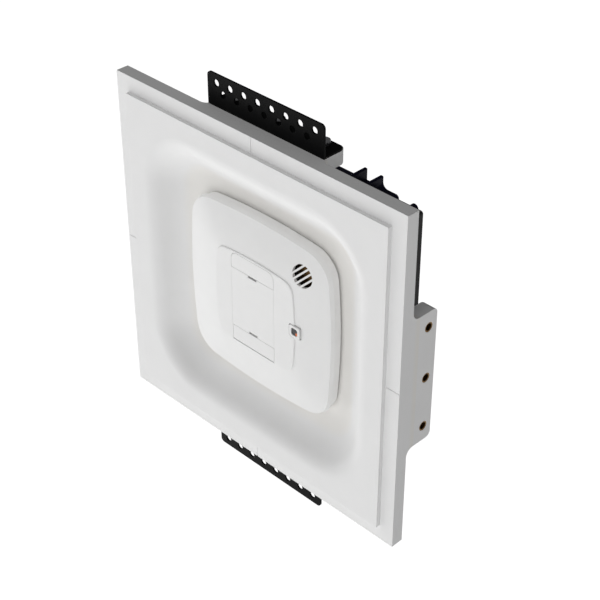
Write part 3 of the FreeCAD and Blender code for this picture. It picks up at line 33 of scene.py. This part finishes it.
class Shader:
    """One node material: a principled surface whose inputs are built up step by step."""

    def __init__(self, name):
        self.material = bpy.data.materials.new(name)
        self.material.use_nodes = True
        self.nodes = self.material.node_tree.nodes
        self.links = self.material.node_tree.links
        self.surface = self.nodes["Principled BSDF"]
        self.place = self.nodes.new("ShaderNodeTexCoord").outputs["Object"]

    def set(self, **values):
        for name, value in values.items():
            self.surface.inputs[name.replace("_", " ")].default_value = value

    def feed(self, name, output):
        self.links.new(output, self.surface.inputs[name])

    def scaled(self, stretch, turn=(0, 0, 0)):
        """The object's coordinates, turned and stretched, for a texture with a grain."""
        mapping = self.nodes.new("ShaderNodeMapping")
        mapping.inputs["Scale"].default_value = stretch
        mapping.inputs["Rotation"].default_value = turn
        self.links.new(self.place, mapping.inputs["Vector"])
        return mapping.outputs["Vector"]

    def noise(self, scale, detail=2.0, rough=0.5, vector=None):
        node = self.nodes.new("ShaderNodeTexNoise")
        node.inputs["Scale"].default_value = scale
        node.inputs["Detail"].default_value = detail
        node.inputs["Roughness"].default_value = rough
        self.links.new(vector or self.place, node.inputs["Vector"])
        return node.outputs["Fac"]

    def cells(self, scale):
        node = self.nodes.new("ShaderNodeTexVoronoi")
        node.inputs["Scale"].default_value = scale
        self.links.new(self.place, node.inputs["Vector"])
        return node.outputs["Distance"]

    def bands(self, scale, direction):
        node = self.nodes.new("ShaderNodeTexWave")
        node.bands_direction = direction
        node.inputs["Scale"].default_value = scale
        self.links.new(self.place, node.inputs["Vector"])
        return node.outputs["Fac"]

    def ramp(self, factor, *stops):
        """Colour or grey that changes with factor: each stop is a position and a colour or grey."""
        node = self.nodes.new("ShaderNodeValToRGB")
        for index, (position, colour) in enumerate(stops):
            if not isinstance(colour, tuple):
                colour = (colour, colour, colour)
            if index < 2:
                element = node.color_ramp.elements[index]
                element.position = position
            else:
                element = node.color_ramp.elements.new(position)
            element.color = (*colour, 1.0)
        self.links.new(factor, node.inputs["Fac"])
        return node.outputs["Color"]

    def math(self, kind, first, second):
        node = self.nodes.new("ShaderNodeMath")
        node.operation = kind
        for socket, value in zip(node.inputs, (first, second)):
            if isinstance(value, (int, float)):
                socket.default_value = value
            else:
                self.links.new(value, socket)
        return node.outputs["Value"]

    def mix(self, factor, first, second, blend="MIX"):
        node = self.nodes.new("ShaderNodeMix")
        node.data_type = "RGBA"
        node.blend_type = blend
        sockets = [s for s in node.inputs if s.type == "RGBA"]
        for socket, value in zip([node.inputs[0]] + sockets, (factor, first, second)):
            if isinstance(value, tuple):
                socket.default_value = (*value, 1.0)
            elif isinstance(value, (int, float)):
                socket.default_value = value
            else:
                self.links.new(value, socket)
        return next(s for s in node.outputs if s.type == "RGBA")

    def spot(self, centre, radius):
        """1 at a point of the object, falling to 0 at the radius."""
        gap = self.nodes.new("ShaderNodeVectorMath")
        gap.operation = "DISTANCE"
        gap.inputs[1].default_value = centre
        self.links.new(self.place, gap.inputs[0])
        fall = self.nodes.new("ShaderNodeMapRange")
        fall.interpolation_type = "SMOOTHSTEP"
        fall.inputs["From Min"].default_value = radius
        fall.inputs["From Max"].default_value = 0.0
        self.links.new(gap.outputs["Value"], fall.inputs["Value"])
        return fall.outputs["Result"]

    def along(self, axis):
        """One coordinate of the object, in metres."""
        split = self.nodes.new("ShaderNodeSeparateXYZ")
        self.links.new(self.place, split.inputs["Vector"])
        return split.outputs[axis]

    def rounded_edges(self, radius):
        node = self.nodes.new("ShaderNodeBevel")
        node.samples = BEVEL_SAMPLES
        node.inputs["Radius"].default_value = radius
        return node.outputs["Normal"]

    def edge_mask(self, radius, start, end):
        """1 along the convex and concave edges, 0 on the open faces."""
        bevel = self.rounded_edges(radius)
        true_normal = self.nodes.new("ShaderNodeNewGeometry").outputs["Normal"]
        dot = self.nodes.new("ShaderNodeVectorMath")
        dot.operation = "DOT_PRODUCT"
        self.links.new(bevel, dot.inputs[0])
        self.links.new(true_normal, dot.inputs[1])
        fall = self.nodes.new("ShaderNodeMapRange")
        fall.inputs["From Min"].default_value = start
        fall.inputs["From Max"].default_value = end
        self.links.new(dot.outputs["Value"], fall.inputs["Value"])
        return fall.outputs["Result"]

    def bump(self, height, depth, strength, normal=None):
        """Relief of the given depth in metres, laid over the surface or over rounded edges."""
        node = self.nodes.new("ShaderNodeBump")
        node.inputs["Strength"].default_value = strength
        node.inputs["Distance"].default_value = depth
        self.links.new(height, node.inputs["Height"])
        if normal:
            self.links.new(normal, node.inputs["Normal"])
        self.feed("Normal", node.outputs["Normal"])


def close_to(colour, change):
    """Two colours a little below and a little above the one given."""
    low = tuple(max(0.0, c * (1 - change)) for c in colour)
    high = tuple(min(1.0, c * (1 + change)) for c in colour)
    return low, high


# ---------------------------------------------------------------- materials

def cast_plaster():
    """Fine cast gypsum: matt, mottled, pin-holed, with painted warm shade on the bowl's floor."""
    look = Shader("cast_plaster")
    low, high = close_to((0.90, 0.90, 0.898), 0.012)
    mottle = look.ramp(look.noise(34, 4, 0.55), (0.3, low), (0.7, high))
    holes = look.ramp(look.cells(900), (0.03, 0.86), (0.09, 1.0))
    patches = look.ramp(look.noise(60, 2), (0.55, 0.0), (0.68, 1.0))
    speckle = look.mix(patches, WHITE, holes)
    # Painted shade: the colour is multiplied by a slightly darker warm tint from 11 to 16 mm deep, on
    # the bowl's floor.
    depth = look.math("MULTIPLY", look.along("Y"), 1 / (20 * MM))
    shade_tint = (1.0, 0.985, 0.955)
    floor_shade = look.ramp(depth, (0.56, WHITE), (0.70, shade_tint), (0.80, shade_tint), (0.82, WHITE))
    shaded_mottle = look.mix(1.0, mottle, floor_shade, "MULTIPLY")
    look.feed("Base Color", look.mix(1.0, shaded_mottle, speckle, "MULTIPLY"))
    look.feed("Roughness", look.ramp(look.noise(220, 3), (0.3, 0.56), (0.7, 0.68)))
    waves = look.math("MULTIPLY", look.noise(300, 2), 0.8)
    grain = look.math("ADD", look.noise(2600, 3, 0.6), waves)
    look.bump(grain, 0.04 * MM, 0.5, look.rounded_edges(0.35 * MM))
    look.set(IOR=1.45, Specular_IOR_Level=0.35)
    return look.material


def moulded_white():
    """Injection-moulded white housing: satin, with a fine spark texture."""
    look = Shader("moulded_white")
    low, high = close_to((0.90, 0.90, 0.895), 0.008)
    look.feed("Base Color", look.ramp(look.noise(90, 3), (0.3, low), (0.7, high)))
    look.feed("Roughness", look.ramp(look.noise(700, 2), (0.3, 0.36), (0.7, 0.46)))
    pits = look.math("MULTIPLY", look.cells(3000), 0.6)
    spark = look.math("ADD", look.noise(4200, 2, 0.6), pits)
    look.bump(spark, 0.02 * MM, 0.45, look.rounded_edges(0.12 * MM))
    look.set(IOR=1.5, Specular_IOR_Level=0.45)
    return look.material


def powder_coat():
    """Black powder coat over pressed steel: orange peel, slightly rubbed along the edges."""
    look = Shader("powder_coat")
    low, high = (0.0018, 0.0018, 0.002), (0.0034, 0.0034, 0.0036)
    coat = look.ramp(look.noise(160, 4), (0.3, low), (0.7, high))
    rub = look.math("MULTIPLY", look.edge_mask(0.25 * MM, 0.97, 0.8), look.noise(500, 3))
    look.feed("Base Color", look.mix(rub, coat, (0.02, 0.02, 0.021)))
    look.feed("Roughness", look.ramp(look.noise(900, 2), (0.3, 0.34), (0.7, 0.46)))
    look.bump(look.noise(1500, 2), 0.06 * MM, 0.35, look.rounded_edges(0.3 * MM))
    look.set(IOR=1.5, Specular_IOR_Level=0.05)
    return look.material


def zinc_plate():
    """Bright zinc over steel, with fine turning marks and a slightly cloudy film."""
    look = Shader("zinc_plate")
    low, high = (0.46, 0.47, 0.49), (0.66, 0.67, 0.68)
    look.feed("Base Color", look.ramp(look.noise(420, 4, 0.6), (0.25, low), (0.75, high)))
    look.feed("Roughness", look.ramp(look.noise(1300, 3), (0.3, 0.24), (0.7, 0.42)))
    look.bump(look.noise(3500, 2), 0.03 * MM, 0.4, look.rounded_edges(0.15 * MM))
    look.set(Metallic=1.0)
    return look.material


def turned_brass():
    """Turned brass with faint tool rings and a light tarnish."""
    look = Shader("turned_brass")
    low, high = (0.16, 0.085, 0.03), (0.34, 0.21, 0.085)
    look.feed("Base Color", look.ramp(look.noise(700, 4), (0.3, low), (0.75, high)))
    look.feed("Roughness", look.ramp(look.noise(1800, 2), (0.3, 0.26), (0.7, 0.46)))
    look.bump(look.bands(1800, "Y"), 0.02 * MM, 0.3)
    look.set(Metallic=1.0)
    return look.material


def dark_board():
    """Dense charcoal board: matt, with short pressed fibres."""
    look = Shader("dark_board")
    fibres = look.noise(420, 5, 0.65, look.scaled((1.0, 3.0, 0.45), (0, 0.5, 0)))
    flecks = look.noise(1500, 3, 0.6)
    long, short = look.math("MULTIPLY", fibres, 0.7), look.math("MULTIPLY", flecks, 0.3)
    shade = look.math("ADD", long, short)
    low, high = (0.017, 0.017, 0.0175), (0.035, 0.035, 0.036)
    look.feed("Base Color", look.ramp(shade, (0.3, low), (0.72, high)))
    look.feed("Roughness", look.ramp(flecks, (0.3, 0.62), (0.7, 0.8)))
    look.bump(shade, 0.12 * MM, 0.4, look.rounded_edges(0.2 * MM))
    look.set(Specular_IOR_Level=0.35)
    return look.material


def navy_shell():
    """Deep navy moulded shell with a fine leather-like mould texture."""
    look = Shader("navy_shell")
    low, high = (0.0022, 0.0024, 0.017), (0.0034, 0.0038, 0.026)
    look.feed("Base Color", look.ramp(look.noise(120, 4), (0.3, low), (0.7, high)))
    look.feed("Roughness", look.ramp(look.noise(500, 3), (0.3, 0.36), (0.7, 0.5)))
    creases = look.math("MULTIPLY", look.noise(2400, 2), 0.5)
    texture = look.math("ADD", look.cells(1400), creases)
    look.bump(texture, 0.05 * MM, 0.35, look.rounded_edges(0.25 * MM))
    look.set(IOR=1.5, Specular_IOR_Level=0.12)
    return look.material


def rubber():
    """Matt black grommet rubber with a chalky bloom."""
    look = Shader("soft_rubber")
    low, high = (0.012, 0.012, 0.012), (0.028, 0.028, 0.027)
    look.feed("Base Color", look.ramp(look.noise(380, 4, 0.6), (0.35, low), (0.75, high)))
    look.feed("Roughness", look.ramp(look.noise(900, 2), (0.3, 0.66), (0.7, 0.84)))
    look.bump(look.noise(2200, 3), 0.05 * MM, 0.5)
    look.set(Specular_IOR_Level=0.3)
    return look.material


def smoked_window(low, high):
    """Dark tinted lens with a painted amber lamp glow at one corner."""
    look = Shader("smoked_window")
    corner = (high.x - 0.9 * MM, low.y, low.z + 1.2 * MM)
    dark, light = (0.010, 0.010, 0.012), (0.022, 0.021, 0.024)
    tint = look.ramp(look.noise(900, 2), (0.3, dark), (0.7, light))
    # Painted glow: an amber spot added to the lens colour and emission at one corner, standing in for
    # the lamp behind the lens.
    painted_lamp_glow = look.ramp(look.spot(corner, 2.0 * MM), (0.0, 0.0), (1.0, (0.75, 0.16, 0.02)))
    look.feed("Base Color", look.mix(1.0, tint, painted_lamp_glow, "ADD"))
    look.feed("Emission Color", painted_lamp_glow)
    look.feed("Roughness", look.ramp(look.noise(1500, 2), (0.3, 0.07), (0.7, 0.14)))
    look.bump(look.noise(700, 1), 0.02 * MM, 0.2)
    look.set(IOR=1.49, Emission_Strength=0.35, Coat_Weight=0.6, Coat_Roughness=0.05)
    return look.material


def black_moulding():
    """Matt black moulding with fine flow lines."""
    look = Shader("black_moulding")
    flow = look.noise(260, 4, 0.6, look.scaled((1.0, 1.0, 0.3)))
    low, high = (0.010, 0.010, 0.011), (0.020, 0.020, 0.021)
    look.feed("Base Color", look.ramp(flow, (0.3, low), (0.7, high)))
    look.feed("Roughness", look.ramp(look.noise(800, 2), (0.3, 0.48), (0.7, 0.62)))
    look.bump(look.noise(2600, 2), 0.03 * MM, 0.4, look.rounded_edges(0.15 * MM))
    return look.material


def solder_mask():
    """Green solder mask with darker tracks, pads and a glass weave under it."""
    look = Shader("solder_mask")
    weave = look.math("MULTIPLY", look.bands(900, "X"), look.bands(900, "Z"))
    mask = look.ramp(weave, (0.1, (0.010, 0.075, 0.030)), (0.9, (0.016, 0.105, 0.042)))
    tracks = look.ramp(look.bands(60, "DIAGONAL"), (0.78, 0.0), (0.84, 1.0))
    pads = look.ramp(look.cells(190), (0.12, 1.0), (0.16, 0.0))
    routed = look.mix(tracks, mask, (0.020, 0.16, 0.065))
    look.feed("Base Color", look.mix(pads, routed, (0.55, 0.53, 0.50)))
    look.feed("Roughness", look.ramp(pads, (0.0, 0.3), (1.0, 0.42)))
    look.bump(look.math("ADD", tracks, pads), 0.03 * MM, 0.6)
    look.set(Coat_Weight=0.4, Coat_Roughness=0.15)
    return look.material


def woven_steel():
    """Fine woven stainless cloth."""
    look = Shader("woven_steel")
    weave = look.math("MULTIPLY", look.bands(700, "DIAGONAL"), look.bands(700, "Y"))
    gap, wire = (0.05, 0.05, 0.052), (0.55, 0.56, 0.57)
    look.feed("Base Color", look.ramp(weave, (0.15, gap), (0.6, wire)))
    look.feed("Roughness", look.ramp(weave, (0.2, 0.6), (0.7, 0.3)))
    look.bump(weave, 0.15 * MM, 0.8)
    look.set(Metallic=0.9)
    return look.material


def epoxy(name, colour, clearness):
    """Cast epoxy body of a small lamp or sensor."""
    look = Shader(name)
    low, high = close_to(colour, 0.12)
    look.feed("Base Color", look.ramp(look.noise(600, 2), (0.3, low), (0.7, high)))
    look.feed("Roughness", look.ramp(look.noise(1500, 2), (0.3, 0.06), (0.7, 0.14)))
    look.bump(look.noise(900, 1), 0.02 * MM, 0.2)
    look.set(Transmission_Weight=clearness, IOR=1.55)
    return look.material


def drawn_wire():
    """Drawn spring steel, bright along the wire."""
    look = Shader("drawn_wire")
    low, high = (0.34, 0.34, 0.35), (0.6, 0.6, 0.61)
    look.feed("Base Color", look.ramp(look.noise(2000, 3), (0.3, low), (0.7, high)))
    look.feed("Roughness", look.ramp(look.noise(3000, 2), (0.3, 0.2), (0.7, 0.36)))
    look.bump(look.noise(5000, 2), 0.01 * MM, 0.4)
    look.set(Metallic=1.0)
    return look.material


def printed_wrap(name, colour, band, direction):
    """Shrunk plastic sleeve in one tone with plain bands of another."""
    look = Shader(name)
    low, high = close_to(colour, 0.08)
    body = look.ramp(look.noise(300, 3), (0.3, low), (0.7, high))
    stripe = look.ramp(look.bands(14, direction), (0.86, 0.0), (0.9, 1.0))
    look.feed("Base Color", look.mix(stripe, body, band))
    look.feed("Roughness", look.ramp(look.noise(900, 2), (0.3, 0.26), (0.7, 0.4)))
    look.bump(look.noise(1100, 2), 0.03 * MM, 0.3)
    look.set(Coat_Weight=0.3, Coat_Roughness=0.2)
    return look.material


def ivory_moulding():
    """Glossy ivory connector body."""
    look = Shader("ivory_moulding")
    low, high = (0.66, 0.62, 0.50), (0.72, 0.68, 0.56)
    look.feed("Base Color", look.ramp(look.noise(240, 3), (0.3, low), (0.7, high)))
    look.feed("Roughness", look.ramp(look.noise(800, 2), (0.3, 0.26), (0.7, 0.38)))
    look.bump(look.noise(2400, 2), 0.02 * MM, 0.4, look.rounded_edges(0.15 * MM))
    return look.material


lens_low, lens_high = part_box("lamp_lens")
LOOKS = {
    "plaster": cast_plaster(),
    "white_plastic": moulded_white(),
    "black_steel": powder_coat(),
    "zinc_steel": zinc_plate(),
    "brass": turned_brass(),
    "charcoal_board": dark_board(),
    "navy_plastic": navy_shell(),
    "black_rubber": rubber(),
    "smoked_lens": smoked_window(lens_low, lens_high),
    "black_plastic": black_moulding(),
    "board_green": solder_mask(),
    "steel_mesh": woven_steel(),
    "clear_epoxy": epoxy("clear_epoxy", (0.72, 0.74, 0.76), 0.8),
    "dark_epoxy": epoxy("dark_epoxy", (0.02, 0.018, 0.022), 0.1),
    "spring_steel": drawn_wire(),
    "cell_wrap": printed_wrap("cell_wrap", (0.05, 0.05, 0.055), (0.42, 0.27, 0.08), "Z"),
    "capacitor_sleeve": printed_wrap("capacitor_sleeve", (0.03, 0.04, 0.11), (0.5, 0.5, 0.52), "Y"),
    "ivory_plastic": ivory_moulding(),
}

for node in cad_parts.values():
    for slot in node.material_slots:
        slot.material = LOOKS[slot.material.name.split(".")[0]]


# ---------------------------------------------------------------- floor, light and camera

FLOOR_HEIGHT = -2.4
FLOOR_REACH = 14.0
FLOOR_SEEN = 0.95
FLOOR_CAST = 0.62
WORLD_SEEN = 1.0
WORLD_CAST = 0.10
LIGHT_DISTANCE = 1.9
LENS_LENGTH = 90.39
SENSOR_WIDTH = 36.0
VIEW_REACH = 60.0
CAMERA_PLACE = Vector((0.61079, -0.56683, 0.59580))
CAMERA_AIM = Vector((0.04396, 0.0, 0.02897))


def glow_for_camera(nodes, links, seen, cast):
    """A strength that is brighter in the picture than in the light it gives to the part."""
    path = nodes.new("ShaderNodeLightPath")
    strength = nodes.new("ShaderNodeMapRange")
    strength.inputs["To Min"].default_value = cast
    strength.inputs["To Max"].default_value = seen
    links.new(path.outputs["Is Camera Ray"], strength.inputs["Value"])
    return strength.outputs["Result"]


def white_floor():
    """Pale studio floor well below the part, lit from within like a light table."""
    mesh = bpy.data.meshes.new("studio_floor")
    signs = ((-1, -1), (1, -1), (1, 1), (-1, 1))
    corners = [(x * FLOOR_REACH, y * FLOOR_REACH, FLOOR_HEIGHT) for x, y in signs]
    mesh.from_pydata(corners, [], [(0, 1, 2, 3)])
    floor = bpy.data.objects.new("studio_floor", mesh)
    bpy.context.scene.collection.objects.link(floor)
    look = Shader("studio_paper")
    look.feed("Base Color", look.ramp(look.noise(3, 3), (0.3, 0.90), (0.7, 0.93)))
    look.set(Roughness=0.9, Specular_IOR_Level=0.1, Emission_Color=(1.0, 1.0, 1.0, 1.0))
    glow = glow_for_camera(look.nodes, look.links, FLOOR_SEEN, FLOOR_CAST)
    look.feed("Emission Strength", glow)
    mesh.materials.append(look.material)


def soft_light(name, direction, watts, size):
    """A square soft box that faces the part from the given direction."""
    light = bpy.data.lights.new(name, "AREA")
    light.shape = "SQUARE"
    light.size = size
    light.energy = watts
    lamp = bpy.data.objects.new(name, light)
    away = Vector(direction).normalized()
    lamp.location = away * LIGHT_DISTANCE
    lamp.rotation_euler = away.to_track_quat("Z", "Y").to_euler()
    bpy.context.scene.collection.objects.link(lamp)


def bright_world():
    """White backdrop that adds only a little light of its own."""
    world = bpy.data.worlds.new("studio")
    world.use_nodes = True
    nodes, links = world.node_tree.nodes, world.node_tree.links
    backdrop = nodes["Background"]
    backdrop.inputs["Color"].default_value = (*WHITE, 1.0)
    glow = glow_for_camera(nodes, links, WORLD_SEEN, WORLD_CAST)
    links.new(glow, backdrop.inputs["Strength"])
    bpy.context.scene.world = world


def photo_camera():
    """Camera above and to the right of the face, as in the photograph."""
    lens = bpy.data.cameras.new("camera")
    lens.lens = LENS_LENGTH
    lens.sensor_width = SENSOR_WIDTH
    lens.clip_end = VIEW_REACH
    camera = bpy.data.objects.new("camera", lens)
    camera.location = CAMERA_PLACE
    camera.rotation_euler = (CAMERA_PLACE - CAMERA_AIM).to_track_quat("Z", "Y").to_euler()
    bpy.context.scene.collection.objects.link(camera)
    bpy.context.scene.camera = camera


white_floor()
soft_light("lower_left", (-0.85, -0.30, -0.50), 7.0, 1.2)
soft_light("upper_left", (-0.70, -0.50, 0.50), 6.5, 1.2)
soft_light("under", (0.0, -0.40, -0.90), 7.0, 1.2)
soft_light("upper_right", (0.55, -0.75, 0.65), 4.5, 1.4)
soft_light("front", (0.15, -1.0, 0.08), 7.5, 1.6)

bright_world()
photo_camera()
bpy.context.scene.view_settings.view_transform = "Standard"
